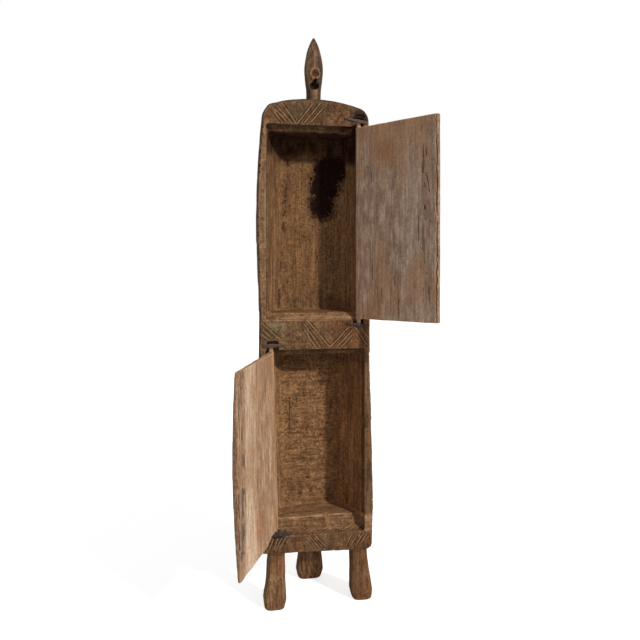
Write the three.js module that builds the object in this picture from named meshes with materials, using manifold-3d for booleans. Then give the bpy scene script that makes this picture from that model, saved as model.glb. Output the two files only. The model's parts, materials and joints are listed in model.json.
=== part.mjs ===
// A tall cabinet hewn from one log: a half-round trunk on three legs, with a knob on its domed top,
// two hollowed compartments and two plank doors. Each door turns on two wooden pegs cut from its own
// plank, and a forged iron staple across each peg's notch keeps the peg in its seat.
//
// Millimetres, +Z up. The origin is on the back leg's sole, on the trunk's mid-plane, and the front
// faces -Y.
// The pieces are drawn with the front face at y = 0 and the floor at z = 0, then moved as one.

import * as THREE from "three";
import { mergeVertices } from "three/addons/utils/BufferGeometryUtils.js";
import Module from "manifold-3d";

const wasm = await Module();
wasm.setup();

// Heights above the floor
const undersideZ = 107.3;
const undersideTilt = 3.6;
const baseLedgeZ = 145.5;
const baseLedgeTilt = 1.5;
const lowerFloorZ = 172;
const lowerCeilingZ = 503;
const bandBottomZ = 514.7;
const bandTopZ = 573.8;
const bandTopTilt = 1.6;
const upperFloorZ = 587;
const upperCeilingZ = 949;
const lintelZ = 963;
const shoulderZ = 975;
const crownZ = 1015.6;
const bellyZ = 219;
const chestZ = 783;

// Trunk, half widths measured at the front
const footHalfWidth = 105;
const bellyHalfWidth = 119.6;
const waistHalfWidth = 112;
const chestHalfWidth = 118.2;
const shoulderHalfWidth = 108.8;
const shoulderShiftX = 1.8;
const trunkDepth = 128;
const sideSetback = 22;
const sideSwell = 3;
const topEdgeRadius = 16;
const bottomEdgeRadius = 12;
const crownSpread = 85;
const crownDrop = 11;
const crownCentreX = -5;
const domeRise = 8;
const edgePivot = 0.4;

// Compartments
const rebateDepth = 14.5;
const mouthHalfWidth = 94.5;
const backHalfWidth = 56;
const upperBackY = 87;
const lowerBackY = 87;
const sillDepth = 8;
const baseSillDepth = 11;
const coveRadius = 9;
const upperSillRise = 4;
const baseSillRise = 3;
const hollowNarrowing = 1.7;
const sillNosing = 3;
const mouthCornerRadius = 3;
const nosingCornerRadius = 4;
const sillCornerRadius = 5;
const nosingRise = 2;
const sillRounding = 1;

// Doors
const doorThickness = 13;
const doorSideGap = 1.8;
const upperDoorEndGap = 1;
const lowerDoorHeadGap = 4.2;
const lowerDoorFootGap = 3.8;
const freeJambX = 99.8;
const upperDoorOpen = 128.4;
const lowerDoorOpen = 114.8;
const lowerDoorWarp = 7.5;
const lowerDoorEdgeAtEnds = 6.5;
const lowerDoorEdgeAtMiddle = 13.8;
const clippedCornerRun = 28;
const clippedCornerGap = 1.8;
const edgeRound = 2.5;

// Pegs, notches and their axes
const pegRadius = 5.5;
const pegTaper = 0.92;
const pegAxisY = 6;
const pegEndGap = 0.3;
const upperAxisX = 89;
const lowerAxisTopX = -90.2;
const lowerAxisFootX = -80.8;
const upperCheekGap = 15;
const lowerCheekGap = 11.6;
const notchDepth = 14;
const notchSide = 2.8;
const notchInner = 9;
const topNotchHeight = 19;
const bandNotchHeight = 18;
const bandNotchDepth = 14;
const baseNotchDepth = 3;
const pegTopGap = 6;

// Staples, with the height of each over or under the edge that its notch is cut in
const topStapleRise = 10.5;
const bandStapleDrop = 12.5;
const bandStapleRise = 9;
const baseStapleRise = 6;
const stapleThickness = 3.2;
const stapleSeatGap = 0.3;
const prongLength = 15;
const prongRoot = 4;
const prongPoint = 1.6;
const prongInset = 4;
const prongGap = 0.3;
const stapleBevel = 0.7;
const strapHeelRound = 1;
const strapPointLift = 0.2;
const pointProngShare = 0.62;

// Legs
const legSideAtTop = 33.5;
const legSideAtFoot = 46.5;
const legSole = 40;
const legDepth = 43;
const backLegSideAtTop = 45;
const backLegSideAtFoot = 59;
const backLegSole = 49;
const backLegDepth = 40;
const legFlareZ = 18;
const legEmbed = 8;
const legKneeShare = 0.55;
const kneeThinning = 2;
const legTopThinning = 4;
const legSquareness = 0.6;
const frontLegTopY = 20;
const backLegX = 5;
const backLegTopY = 104;
const backLegFootY = 122;

// Knob
const knobX = 4.4;
const knobY = 58;
const knobTipZ = 1160;
const knobBrowZ = 1099;
const knobJawZ = 1068;
const knobNeckZ = 1046;
const knobRadius = 19.4;
const knobJawRadius = 18.4;
const knobTaperRadius = 12.2;
const knobTaperZ = 1135.5;
const knobNeckRadius = 15.6;
const knobEmbed = 8;
const knobTipRadius = 2.2;
const knobRingZ = 1078;
const ringWidth = 9;
const ringHeight = 12;
const ringBead = 2.4;
const ringSeat = 1.9;
const ringBowl = 5;
const pitZ = 1055;
const pitWidth = 19.6;
const pitHeight = 17.5;
const pitDepth = 9;

// How finely the round shapes are faceted
const ringSteps = 24;
const frontSteps = 12;
const cornerSteps = 3;
const edgeSteps = 6;
const sideRings = 13;
const domeRings = 4;
const widthSteps = 60;
const knobSteps = 18;
const beadSides = 8;
const bowlRings = 10;
const bowlSides = 16;
const legSides = 16;
const pegSides = 20;

// How far a cutter runs past what it opens, and past the front face
const overcut = 1;
const frontClear = -4;

// Solids from geometry and back

function solidOf(geometry) {
  const bare = geometry.clone();
  bare.deleteAttribute("normal");
  bare.deleteAttribute("uv");
  const merged = mergeVertices(bare, 1e-4);
  return new wasm.Manifold(
    new wasm.Mesh({
      numProp: 3,
      vertProperties: new Float32Array(merged.attributes.position.array),
      triVerts: new Uint32Array(merged.index.array),
    }),
  );
}

function geometryOf(solid) {
  const mesh = solid.getMesh();
  const geometry = new THREE.BufferGeometry();
  geometry.setAttribute("position", new THREE.BufferAttribute(mesh.vertProperties, 3));
  geometry.setIndex(new THREE.BufferAttribute(mesh.triVerts, 1));
  geometry.computeVertexNormals();
  return geometry;
}

function join(...geometries) {
  return geometries.map(solidOf).reduce((all, one) => all.add(one));
}

function cut(solid, ...geometries) {
  return geometries.map(solidOf).reduce((rest, one) => rest.subtract(one), solid);
}

// A closed skin through a stack of rings with equal counts, listed anticlockwise from above and
// from the lowest up, and closed at both ends with a fan.
function loft(rings) {
  const count = rings[0].length;
  const points = rings.flat();
  const faces = [];
  for (let k = 0; k + 1 < rings.length; k++) {
    for (let i = 0; i < count; i++) {
      const j = (i + 1) % count;
      const low = k * count;
      const high = low + count;
      faces.push(low + i, low + j, high + j, low + i, high + j, high + i);
    }
  }
  for (const [ring, base, isTop] of [
    [rings[0], 0, false],
    [rings.at(-1), points.length - count, true],
  ]) {
    const middle = new THREE.Vector3();
    ring.forEach((point) => middle.addScaledVector(point, 1 / count));
    const centre = points.push(middle) - 1;
    for (let i = 0; i < count; i++) {
      const j = (i + 1) % count;
      faces.push(centre, base + (isTop ? i : j), base + (isTop ? j : i));
    }
  }
  return new THREE.BufferGeometry().setFromPoints(points).setIndex(faces);
}

// Turns a loft whose rings are (x, height) stacked towards the viewer into the cabinet's own axes:
// a ring at stack -y lies in the plane at depth y.
function facingFront(rings) {
  return loft(rings).rotateX(Math.PI / 2);
}

// A block along Y whose outline is drawn on the front face.
function prism(outline, fromY, toY) {
  const shape = new THREE.Shape(outline.map(([x, z]) => new THREE.Vector2(x, z)));
  return new THREE.ExtrudeGeometry(shape, { depth: toY - fromY, bevelEnabled: false })
    .rotateX(Math.PI / 2)
    .translate(0, toY, 0);
}

// Trunk

// The trunk's half width at a height: a smooth curve through the five widths that were measured.
const widthCurve = new THREE.SplineCurve([
  new THREE.Vector2(undersideZ, bellyHalfWidth - sideSwell),
  new THREE.Vector2(bellyZ, bellyHalfWidth),
  new THREE.Vector2((bandBottomZ + bandTopZ) / 2, waistHalfWidth),
  new THREE.Vector2(chestZ, chestHalfWidth),
  new THREE.Vector2(shoulderZ, shoulderHalfWidth),
]);

function halfWidthAt(z) {
  const along = widthCurve.getPoints(widthSteps);
  const next = along.findIndex((point) => point.x >= z);
  if (next <= 0) {
    return next < 0 ? shoulderHalfWidth : along[0].y;
  }
  const share = (z - along[next - 1].x) / (along[next].x - along[next - 1].x);
  return THREE.MathUtils.lerp(along[next - 1].y, along[next].y, share);
}

// The half-round section: a flat front, sides that swell a little behind it, and a round back.
function trunkSection(halfWidth) {
  const frontHalf = halfWidth - sideSwell;
  const depth = (trunkDepth * halfWidth) / bellyHalfWidth;
  const section = [];
  for (let i = 0; i < frontSteps; i++) {
    section.push([THREE.MathUtils.lerp(-frontHalf, frontHalf, i / frontSteps), 0]);
  }
  const corner = (turn) => [
    frontHalf + sideSwell * Math.sin(turn),
    sideSetback * (1 - Math.cos(turn)),
  ];
  for (let i = 0; i < cornerSteps; i++) {
    section.push(corner((i / cornerSteps) * (Math.PI / 2)));
  }
  for (let i = 0; i <= ringSteps; i++) {
    const turn = (i / ringSteps) * Math.PI;
    section.push([
      halfWidth * Math.cos(turn),
      sideSetback + (depth - sideSetback) * Math.sin(turn),
    ]);
  }
  for (let i = cornerSteps - 1; i > 0; i--) {
    const [x, y] = corner((i / cornerSteps) * (Math.PI / 2));
    section.push([-x, y]);
  }
  return section;
}

// The crown lies a little to the right of the trunk below it.
function shiftAt(z) {
  return shoulderShiftX * THREE.MathUtils.smoothstep(z, upperCeilingZ, shoulderZ);
}

function crownAt(x) {
  return crownZ - crownDrop * ((x - crownCentreX) / crownSpread) ** 2;
}

function trunk() {
  const pivotY = trunkDepth * edgePivot;
  const ring = (halfWidth, share, heightOf) =>
    trunkSection(halfWidth).map(([x, y]) => {
      const at = new THREE.Vector3(x * share, pivotY + (y - pivotY) * share, 0);
      at.z = heightOf(at.x);
      at.x += shiftAt(at.z);
      return at;
    });
  const rings = [];
  const tilted = (z) => (x) => z - (undersideTilt * x) / footHalfWidth;
  for (let i = edgeSteps / 2; i > 0; i--) {
    const turn = (i / (edgeSteps / 2)) * (Math.PI / 2);
    const z = undersideZ + bottomEdgeRadius * (1 - Math.sin(turn));
    const share = 1 - (bottomEdgeRadius / footHalfWidth) * (1 - Math.cos(turn));
    rings.push(ring(halfWidthAt(z), share, tilted(z)));
  }
  const lowest = undersideZ + bottomEdgeRadius;
  for (let i = 0; i <= sideRings; i++) {
    const z = THREE.MathUtils.lerp(lowest, shoulderZ, i / sideRings);
    rings.push(ring(halfWidthAt(z), 1, i > 0 ? () => z : tilted(z)));
  }
  const edgeShare = 1 - topEdgeRadius / shoulderHalfWidth;
  for (let i = 1; i <= edgeSteps; i++) {
    const turn = (i / edgeSteps) * (Math.PI / 2);
    const share = 1 - (1 - edgeShare) * (1 - Math.cos(turn));
    rings.push(
      ring(shoulderHalfWidth, share, (x) => shoulderZ + (crownAt(x) - shoulderZ) * Math.sin(turn)),
    );
  }
  for (let i = 1; i < domeRings; i++) {
    const share = edgeShare * (1 - i / domeRings);
    const rise = domeRise * (1 - (share / edgeShare) ** 2);
    rings.push(ring(shoulderHalfWidth, share, (x) => crownAt(x) + rise));
  }
  return loft(rings);
}

// Legs

// A hewn leg: square with round corners, flared to a foot and chamfered to a flat sole.
function leg(topX, topY, footX, footY, sideAtTop, sideAtFoot, soleSide, depth) {
  const ring = (z, x, y, width, length) =>
    Array.from({ length: legSides }, (_, i) => {
      const turn = ((i + 0.5) / legSides) * 2 * Math.PI;
      const round = (value) => Math.sign(value) * Math.abs(value) ** legSquareness;
      return new THREE.Vector3(
        x + (width / 2) * round(Math.cos(turn)),
        y + (length / 2) * round(Math.sin(turn)),
        z,
      );
    });
  const between = (share) => [
    THREE.MathUtils.lerp(footX, topX, share),
    THREE.MathUtils.lerp(footY, topY, share),
  ];
  const rise = undersideZ + legEmbed;
  const kneeZ = undersideZ * legKneeShare;
  return loft([
    ring(0, footX, footY, soleSide, depth - (sideAtFoot - soleSide) / 2),
    ring(legFlareZ, ...between(legFlareZ / rise), sideAtFoot, depth),
    ring(kneeZ, ...between(kneeZ / rise), (sideAtTop * 2 + sideAtFoot) / 3, depth - kneeThinning),
    ring(rise, ...between(1), sideAtTop, depth - legTopThinning),
  ]);
}

const legs = {
  front_left: { topX: -77.6, footX: -81.4, footY: 18.5 },
  front_right: { topX: 89, footX: 98.6, footY: 25 },
};

function frontLeg({ topX, footX, footY }) {
  return leg(topX, frontLegTopY, footX, footY, legSideAtTop, legSideAtFoot, legSole, legDepth);
}

function backLeg() {
  return leg(
    backLegX,
    backLegTopY,
    backLegX,
    backLegFootY,
    backLegSideAtTop,
    backLegSideAtFoot,
    backLegSole,
    backLegDepth,
  );
}

// Knob

function knob() {
  const rootZ = crownZ - knobEmbed;
  const outline = new THREE.SplineCurve([
    new THREE.Vector2(knobNeckRadius, rootZ),
    new THREE.Vector2(knobNeckRadius, knobNeckZ),
    new THREE.Vector2(knobJawRadius, knobJawZ),
    new THREE.Vector2(knobRadius, knobBrowZ),
    new THREE.Vector2(knobTaperRadius, knobTaperZ),
    new THREE.Vector2(knobTipRadius, knobTipZ - knobTipRadius),
  ]);
  const profile = [
    new THREE.Vector2(0, rootZ),
    ...outline.getPoints(knobSteps),
    new THREE.Vector2(0, knobTipZ),
  ];
  return new THREE.LatheGeometry(profile, ringSteps).rotateX(Math.PI / 2).translate(knobX, knobY, 0);
}

// The raised ring on the knob's front.
function knobRing() {
  return new THREE.TorusGeometry(1, ringBead / ringHeight, beadSides, ringSteps)
    .scale(ringWidth, ringHeight, ringHeight)
    .rotateX(Math.PI / 2)
    .translate(knobX, knobY - knobRadius + ringSeat, knobRingZ);
}

// A bowl cut into the knob's front, centred at a depth behind the front face.
function knobBowl(y, z, width, height, depth) {
  return new THREE.SphereGeometry(1, bowlSides, bowlRings)
    .scale(width / 2, depth, height / 2)
    .translate(knobX, y, z);
}

// Compartments

// A ring with round corners on the front face, as (x, height) pairs at one depth.
function mouthRing(y, halfWidth, low, high, radius) {
  const steps = 4;
  const corners = [
    [halfWidth - radius, high - radius, 0],
    [-halfWidth + radius, high - radius, 1],
    [-halfWidth + radius, low + radius, 2],
    [halfWidth - radius, low + radius, 3],
  ];
  return corners.flatMap(([x, z, quarter]) =>
    Array.from({ length: steps + 1 }, (_, i) => {
      const turn = (quarter + i / steps) * (Math.PI / 2);
      return new THREE.Vector3(x + radius * Math.cos(turn), z + radius * Math.sin(turn), -y);
    }),
  );
}

// A hollow that narrows to the back with bowed sides, and whose floor stands on a sill.
function hollow(sillZ, floorZ, ceilingZ, sill, backY) {
  const sideAt = (y) => {
    const share = (y - rebateDepth) / (backY - rebateDepth);
    return mouthHalfWidth - (mouthHalfWidth - backHalfWidth) * share ** hollowNarrowing;
  };
  const start = rebateDepth - overcut;
  const sillY = rebateDepth + sill;
  const stations = [
    [start, mouthHalfWidth, sillZ, ceilingZ, mouthCornerRadius],
    [sillY - sillNosing, sideAt(sillY - sillNosing), sillZ + nosingRise, ceilingZ, nosingCornerRadius],
    [sillY, sideAt(sillY), floorZ - sillRounding, ceilingZ, sillCornerRadius],
  ];
  const bowSteps = 4;
  for (let i = 1; i <= bowSteps; i++) {
    const y = THREE.MathUtils.lerp(sillY, backY - coveRadius / 2, i / bowSteps);
    stations.push([y, sideAt(y), floorZ, ceilingZ, coveRadius]);
  }
  const inset = coveRadius / 3;
  stations.push([backY, backHalfWidth - inset, floorZ + inset, ceilingZ - inset, coveRadius]);
  return facingFront(stations.map((station) => mouthRing(...station)).reverse());
}

const upperCheekX = upperAxisX + upperCheekGap;
const lowerCheekX = lowerAxisTopX - lowerCheekGap;

// The line of the band's top edge, which falls a little from the free side to the hinge.
function bandTopAt(x) {
  return bandTopZ - (bandTopTilt * x) / freeJambX;
}

function baseLedgeAt(x) {
  return baseLedgeZ - (baseLedgeTilt * x) / freeJambX;
}

function upperRebate() {
  return prism(
    [
      [-freeJambX, bandTopAt(-freeJambX)],
      [upperCheekX, bandTopAt(upperCheekX)],
      [upperCheekX, lintelZ],
      [-freeJambX, lintelZ],
    ],
    frontClear,
    rebateDepth,
  );
}

function lowerRebate() {
  return prism(
    [
      [lowerCheekX, baseLedgeAt(lowerCheekX)],
      [freeJambX, baseLedgeAt(freeJambX)],
      [freeJambX, bandBottomZ],
      [lowerCheekX, bandBottomZ],
    ],
    frontClear,
    rebateDepth,
  );
}

// A notch for one peg, cut into the front face and open to the door.
function notch(axisX, outward, fromZ, toZ) {
  const outer = axisX + outward * (pegRadius + notchSide);
  const inner = axisX - outward * (pegRadius + notchInner);
  const left = Math.min(outer, inner);
  const right = Math.max(outer, inner);
  return prism(
    [
      [left, fromZ],
      [right, fromZ],
      [right, toZ],
      [left, toZ],
    ],
    frontClear,
    notchDepth,
  );
}

// Staples

// Each staple lies across a notch on the front face. Its thick end is on the cheek beside the
// notch, and its other end is drawn out to a point. axisX is the peg's place under the strap.
function lowerAxisAt(z) {
  const share = (z - baseLedgeZ) / (bandBottomZ - baseLedgeZ);
  return THREE.MathUtils.lerp(lowerAxisFootX, lowerAxisTopX, share);
}

const staples = {
  upper_door_top_staple: {
    axisX: upperAxisX, outward: 1, z: lintelZ + topStapleRise, reach: 34, height: 7, lean: 10,
  },
  upper_door_bottom_staple: {
    axisX: upperAxisX, outward: 1, z: bandTopZ - bandStapleDrop, reach: 33, height: 6.5, lean: 9,
  },
  lower_door_top_staple: {
    axisX: lowerAxisAt(bandBottomZ), outward: -1, z: bandBottomZ + bandStapleRise,
    reach: 33, height: 8, lean: 2,
  },
  lower_door_bottom_staple: {
    axisX: lowerAxisAt(baseLedgeZ), outward: -1, z: baseLedgeZ + baseStapleRise,
    reach: 34, height: 11, lean: -2,
  },
};

const cheekReach = pegRadius + notchSide + prongInset * 2;

// Moves a shape drawn at a staple's own middle onto the front face. Drawn sizes run along the
// strap from the peg, so a positive x is towards the point.
function onFront(geometry, { axisX, outward, z, lean }) {
  if (outward > 0) {
    geometry.rotateZ(Math.PI).rotateX(Math.PI);
    geometry.rotateY(THREE.MathUtils.degToRad(lean));
  } else {
    geometry.rotateY(THREE.MathUtils.degToRad(-lean));
  }
  return geometry.translate(axisX, 0, z);
}

// The strap is full over the peg and tapers to both ends, in shares of its reach and half height.
function strap({ reach, height }) {
  const half = height / 2;
  const heel = -cheekReach + strapHeelRound;
  const outline = new THREE.Shape();
  outline.moveTo(heel, -half * 0.8);
  outline.lineTo(0, -half);
  outline.lineTo(reach * 0.55, -half * 0.8);
  outline.quadraticCurveTo(reach * 0.9, -half * 0.45, reach, strapPointLift);
  outline.quadraticCurveTo(reach * 0.85, half * 0.6, reach * 0.5, half * 0.85);
  outline.lineTo(0, half);
  outline.lineTo(heel, half * 0.9);
  outline.quadraticCurveTo(heel - strapHeelRound * 2, 0, heel, -half * 0.8);
  return new THREE.ExtrudeGeometry(outline, {
    depth: stapleThickness - 2 * stapleBevel,
    bevelEnabled: true,
    bevelThickness: stapleBevel,
    bevelSize: stapleBevel,
    bevelOffset: -stapleBevel,
    bevelSegments: 1,
    curveSegments: 4,
  })
    .rotateX(Math.PI / 2)
    .translate(0, -stapleSeatGap - stapleBevel, 0);
}

function prong(x, grow) {
  const root = prongRoot / 2 + grow;
  const point = prongPoint / 2 + grow;
  const length = prongLength + stapleSeatGap + stapleThickness / 2 + grow;
  return new THREE.CylinderGeometry(point * Math.SQRT2, root * Math.SQRT2, length, 4)
    .rotateY(Math.PI / 4)
    .translate(x, length / 2 - stapleSeatGap - stapleThickness / 2, 0);
}

function prongPlaces({ reach }) {
  return [-(pegRadius + notchSide + prongInset), reach * pointProngShare];
}

function staple(sizes) {
  const prongs = prongPlaces(sizes).map((x) => prong(x, 0));
  return onFront(geometryOf(join(strap(sizes), ...prongs)), sizes);
}

function prongHoles(sizes) {
  return prongPlaces(sizes).map((x) => onFront(prong(x, prongGap), sizes));
}

// Body

function body() {
  const whole = join(
    trunk(),
    frontLeg(legs.front_left),
    frontLeg(legs.front_right),
    backLeg(),
    knob(),
    knobRing(),
  );
  return cut(
    whole,
    hollow(bandTopZ + upperSillRise, upperFloorZ, upperCeilingZ, sillDepth, upperBackY),
    hollow(baseLedgeZ + baseSillRise, lowerFloorZ, lowerCeilingZ, baseSillDepth, lowerBackY),
    upperRebate(),
    lowerRebate(),
    notch(upperAxisX, 1, lintelZ - overcut, lintelZ + topNotchHeight),
    notch(upperAxisX, 1, bandTopZ - bandNotchDepth, bandTopZ + overcut),
    notch(lowerAxisAt(bandBottomZ), -1, bandBottomZ - overcut, bandBottomZ + bandNotchHeight),
    notch(lowerAxisAt(baseLedgeZ), -1, baseLedgeZ - baseNotchDepth, baseLedgeZ + baseLedgeTilt + overcut),
    knobBowl(knobY - knobRadius, knobRingZ, ringBowl * 2, ringBowl * 2, ringBowl),
    knobBowl(knobY - knobNeckRadius, pitZ, pitWidth, pitHeight, pitDepth),
    ...Object.values(staples).flatMap(prongHoles),
  );
}

// Doors, drawn shut

const plankInnerY = pegAxisY + doorThickness / 2;
const plankOuterY = pegAxisY - doorThickness / 2;

// A plank section at one height, from the round hinge edge to the eased free edge, whose two faces
// end at the depths edgeInner and edgeOuter. outward says on which side of its axis the hinge edge is.
function plankRing(z, axisX, freeX, outward, edgeInner, edgeOuter) {
  const radius = doorThickness / 2;
  const inward = -outward;
  const points = [];
  const steps = 8;
  for (let i = 0; i <= steps; i++) {
    const turn = (i / steps) * Math.PI;
    points.push([axisX + outward * radius * Math.sin(turn), pegAxisY - radius * Math.cos(turn)]);
  }
  const middleX = (axisX + freeX) / 2;
  points.push([middleX, (plankInnerY + edgeInner) / 2]);
  points.push([freeX - inward * edgeRound, edgeInner]);
  points.push([freeX, edgeInner - edgeRound]);
  points.push([freeX, edgeOuter + edgeRound]);
  points.push([freeX - inward * edgeRound, edgeOuter]);
  points.push([middleX, (plankOuterY + edgeOuter) / 2]);
  const ring = points.map(([x, y]) => new THREE.Vector3(x, y, z));
  return outward > 0 ? ring : ring.reverse();
}

function peg(fromPoint, toPoint) {
  const along = new THREE.Vector3().subVectors(toPoint, fromPoint);
  const turn = new THREE.Quaternion().setFromUnitVectors(
    new THREE.Vector3(0, 1, 0),
    along.clone().normalize(),
  );
  return new THREE.CylinderGeometry(pegRadius * pegTaper, pegRadius, along.length(), pegSides)
    .applyQuaternion(turn)
    .translate(...new THREE.Vector3().addVectors(fromPoint, toPoint).multiplyScalar(0.5));
}

// Slants a plank's end: every height between the two rings follows the line that the seat has.
function slantEnd(rings, slopeAt) {
  rings.forEach((ring, k) => {
    const share = 1 - k / (rings.length - 1);
    ring.forEach((point) => {
      point.z += slopeAt(point.x) * share;
    });
  });
  return rings;
}

const plankSteps = 8;

function upperDoor() {
  const low = bandTopZ + upperDoorEndGap;
  const high = lintelZ - upperDoorEndGap;
  const freeX = -freeJambX + doorSideGap;
  const rings = Array.from({ length: plankSteps + 1 }, (_, k) => {
    const z = THREE.MathUtils.lerp(low, high, k / plankSteps);
    return plankRing(z, upperAxisX, freeX, 1, plankInnerY, plankOuterY);
  });
  slantEnd(rings, (x) => bandTopAt(x) - bandTopZ);
  const at = (z) => new THREE.Vector3(upperAxisX, pegAxisY, z);
  return join(
    loft(rings),
    peg(at((low + high) / 2), at(lintelZ + topNotchHeight - pegTopGap)),
    peg(at((low + high) / 2), at(bandTopZ - bandNotchDepth + pegEndGap)),
  );
}

function lowerAxisPoint(z) {
  return new THREE.Vector3(lowerAxisAt(z), pegAxisY, z);
}

// The lower door's free edge is thin at both ends and thick in the middle, and its plank is warped:
// its inner face recedes towards the foot. Its hinge corner is clipped to clear the base staple.
function lowerDoor() {
  const low = baseLedgeZ + lowerDoorFootGap;
  const high = bandBottomZ - lowerDoorHeadGap;
  const freeX = freeJambX - doorSideGap;
  const rings = Array.from({ length: plankSteps + 1 }, (_, k) => {
    const share = k / plankSteps;
    const z = THREE.MathUtils.lerp(low, high, share);
    const edgeInner = plankInnerY - lowerDoorWarp * (1 - share);
    const swell = Math.sin(share * Math.PI);
    const thickness = THREE.MathUtils.lerp(lowerDoorEdgeAtEnds, lowerDoorEdgeAtMiddle, swell);
    return plankRing(z, lowerAxisAt(z), freeX, -1, edgeInner, edgeInner - thickness);
  });
  slantEnd(rings, (x) => baseLedgeAt(x) - baseLedgeZ);
  const { z, height, reach } = staples.lower_door_bottom_staple;
  const cornerZ = z + height / 2 + clippedCornerGap;
  const footX = lowerAxisAt(low);
  const hingeSideX = footX - doorThickness;
  const clipped = prism(
    [
      [hingeSideX, low - overcut],
      [footX + reach + clippedCornerRun, low - overcut],
      [footX + reach, cornerZ],
      [hingeSideX, cornerZ + overcut * 2],
    ],
    frontClear,
    rebateDepth,
  );
  const plank = cut(join(loft(rings)), clipped);
  const middle = lowerAxisPoint((low + high) / 2);
  const pegs = join(
    peg(middle, lowerAxisPoint(bandBottomZ + bandNotchHeight - pegTopGap)),
    peg(middle, lowerAxisPoint(baseLedgeZ - baseNotchDepth + pegEndGap)),
  );
  return plank.add(pegs);
}

// Materials

const trunkWood = new THREE.MeshStandardMaterial({ color: 0x7a5a3e, roughness: 0.85, metalness: 0 });
const upperDoorWood = new THREE.MeshStandardMaterial({ color: 0x8d7264, roughness: 0.85, metalness: 0 });
const lowerDoorWood = new THREE.MeshStandardMaterial({ color: 0xa8866a, roughness: 0.85, metalness: 0 });
const forgedIron = new THREE.MeshStandardMaterial({ color: 0x4a4340, roughness: 0.6, metalness: 0.7 });

// Assembly

const cabinet = new THREE.Group();
cabinet.position.y = -backLegFootY;

function addMesh(name, geometry, material, parent = cabinet) {
  const mesh = new THREE.Mesh(geometry, material);
  mesh.name = name;
  parent.add(mesh);
}

addMesh("body", geometryOf(body()), trunkWood);
for (const [name, sizes] of Object.entries(staples)) {
  addMesh(name, staple(sizes), forgedIron);
}

// Hangs a door that was drawn shut on its axis, turned open by an angle in degrees.
function hangDoor(name, solid, material, foot, axis, opening) {
  const hinge = new THREE.Group();
  hinge.position.copy(foot);
  hinge.quaternion.setFromAxisAngle(axis, THREE.MathUtils.degToRad(opening));
  cabinet.add(hinge);
  addMesh(name, geometryOf(solid).translate(-foot.x, -foot.y, -foot.z), material, hinge);
}

hangDoor(
  "upper_door",
  upperDoor(),
  upperDoorWood,
  new THREE.Vector3(upperAxisX, pegAxisY, bandTopZ),
  new THREE.Vector3(0, 0, 1),
  upperDoorOpen,
);

const lowerFoot = lowerAxisPoint(baseLedgeZ);
hangDoor(
  "lower_door",
  lowerDoor(),
  lowerDoorWood,
  lowerFoot,
  new THREE.Vector3().subVectors(lowerFoot, lowerAxisPoint(bandBottomZ)).normalize(),
  lowerDoorOpen,
);

const root = new THREE.Group();
root.add(cabinet);

export default root;
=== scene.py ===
# A tall cabinet hewn from one log, with two plank doors on wooden pegs, held by forged iron staples.
# Every wooden piece is the built solid given a fine skin, which is then hewn, incised and worn.

import itertools
import json
import math

import bmesh
import bpy
import numpy as np
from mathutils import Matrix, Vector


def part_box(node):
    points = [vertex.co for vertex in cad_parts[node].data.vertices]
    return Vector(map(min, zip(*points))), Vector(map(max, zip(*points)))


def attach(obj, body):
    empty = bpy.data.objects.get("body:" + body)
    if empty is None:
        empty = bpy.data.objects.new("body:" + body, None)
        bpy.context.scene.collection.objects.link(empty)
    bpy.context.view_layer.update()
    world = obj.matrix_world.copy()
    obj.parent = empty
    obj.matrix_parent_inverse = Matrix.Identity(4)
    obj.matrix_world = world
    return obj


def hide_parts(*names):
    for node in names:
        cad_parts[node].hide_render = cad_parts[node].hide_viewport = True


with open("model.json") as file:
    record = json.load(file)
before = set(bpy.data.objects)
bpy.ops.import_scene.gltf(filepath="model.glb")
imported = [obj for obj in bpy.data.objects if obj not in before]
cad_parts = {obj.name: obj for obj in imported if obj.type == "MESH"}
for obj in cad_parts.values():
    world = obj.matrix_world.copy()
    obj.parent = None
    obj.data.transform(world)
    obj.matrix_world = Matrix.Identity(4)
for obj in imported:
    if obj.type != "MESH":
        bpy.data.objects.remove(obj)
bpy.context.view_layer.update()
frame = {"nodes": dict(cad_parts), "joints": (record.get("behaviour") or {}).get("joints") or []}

MM = 0.001

# Places that the built cabinet gives

body_low, body_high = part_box("body")
front_y = body_low.y / MM
hinges = {joint["name"]: joint for joint in frame["joints"]}
upper_axis = hinges["upper_door_hinge"]
lower_axis = hinges["lower_door_hinge"]
staples = sorted(node for node in frame["nodes"] if node.endswith("staple"))

# Heights above the floor, depths and widths on the cabinet, in millimetres

underside_z = 107.3
base_ledge_z = 145.5
lower_floor_z = 172
lower_ceiling_z = 503
band_bottom_z = 514.7
band_top_z = 573.8
upper_floor_z = 587
upper_ceiling_z = 949
lintel_z = 963
crown_z = 1015.6
rebate_depth = 14.5
back_wall_depth = 87
sill_reach = 32
mouth_half = 94.5
leg_top_z = underside_z + 4
trunk_radius = 119

# How far each door stands open, from the trunk's right towards the viewer

upper_door_angle = math.radians(-51.6)
lower_door_angle = math.radians(-114.8)

# Fineness of the skins, in millimetres

body_skin = 2.0
door_skin = 1.5
iron_skin = 0.5


# Camera and light

camera_place = (-0.2007, -1.3051, 0.6923)
camera_turn = math.radians(-10)
picture_width = 640
focal_pixels = 600
horizon_row = 260.4

key_side = math.radians(37)
key_height = math.radians(28.5)
key_strength = 2.2
key_softness = math.radians(4)
sky_strength = 0.36
floor_glow = 0.72


def set_camera():
    data = bpy.data.cameras.new("camera")
    data.sensor_width = 36
    data.lens = data.sensor_width * focal_pixels / picture_width
    data.shift_y = (horizon_row - picture_width / 2) / picture_width
    data.clip_start = 0.05
    camera = bpy.data.objects.new("camera", data)
    camera.location = camera_place
    camera.rotation_euler = (math.pi / 2, 0, camera_turn)
    bpy.context.scene.collection.objects.link(camera)
    bpy.context.scene.camera = camera


# Noise and distances, worked out on whole arrays of points


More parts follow.
